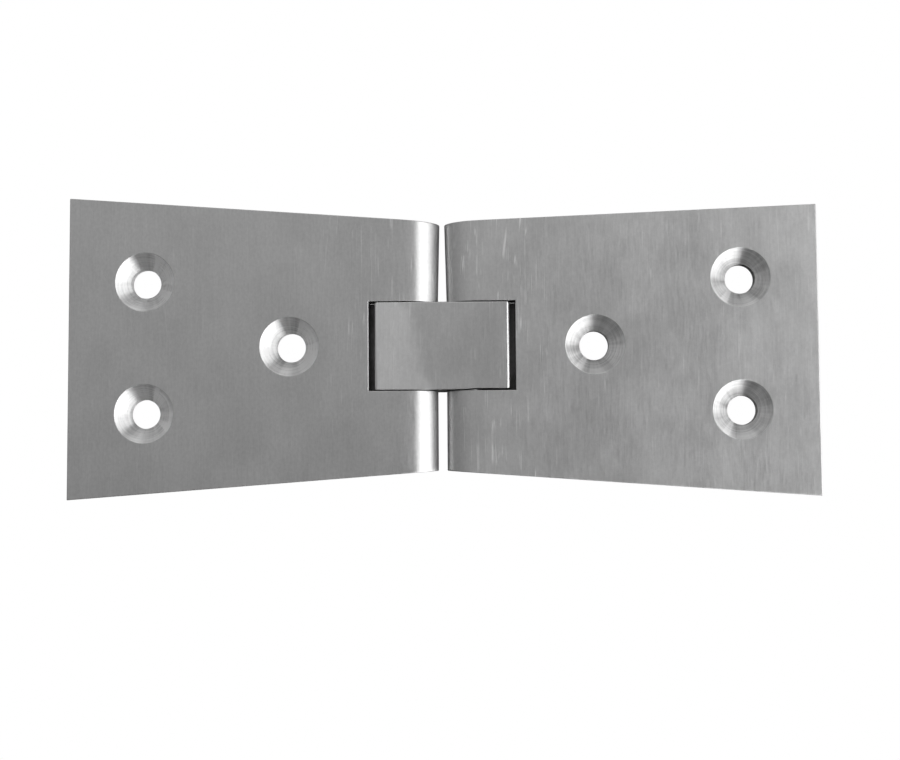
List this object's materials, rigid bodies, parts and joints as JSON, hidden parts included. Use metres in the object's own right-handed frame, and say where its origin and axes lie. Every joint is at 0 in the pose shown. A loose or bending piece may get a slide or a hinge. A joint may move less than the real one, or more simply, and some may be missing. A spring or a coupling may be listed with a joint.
{
  "type": "counter-flap hinge",
  "caption": "Flush counter-flap hinge: fishtail leaves with countersunk screw holes turn on hidden pins in a centre link and fold back face to face.",
  "frame": {"origin": "midway between the two leaves and midway along the joint line, level with the lowest line of the knuckles", "axes": "+X along the open hinge towards the right leaf, +Y along the joint line, +Z out of the countersunk top face"},
  "size_m": [0.102, 0.0412, 0.0066],
  "materials": {
    "leaf_metal": "satin, brushed along the joint line",
    "link_metal": "satin, brushed along the joint line",
    "pin_metal": "plain, ends dressed off flush"
  },
  "bodies": {
    "left_side": {"left_leaf": "leaf_metal", "left_pin": "pin_metal"},
    "middle": {"centre_link": "link_metal"},
    "right_side": {"right_leaf": "leaf_metal", "right_pin": "pin_metal"}
  },
  "joints": [
    {"name": "left_pivot", "type": "hinge", "parent": "left_side", "child": "middle", "pos_m": [-0.0039, 0, 0.0033], "axis": [0, -1, 0], "range_deg": [0, 90]},
    {"name": "right_pivot", "type": "hinge", "parent": "middle", "child": "right_side", "pos_m": [0.0039, 0, 0.0033], "axis": [0, -1, 0], "range_deg": [0, 90]}
  ]
}
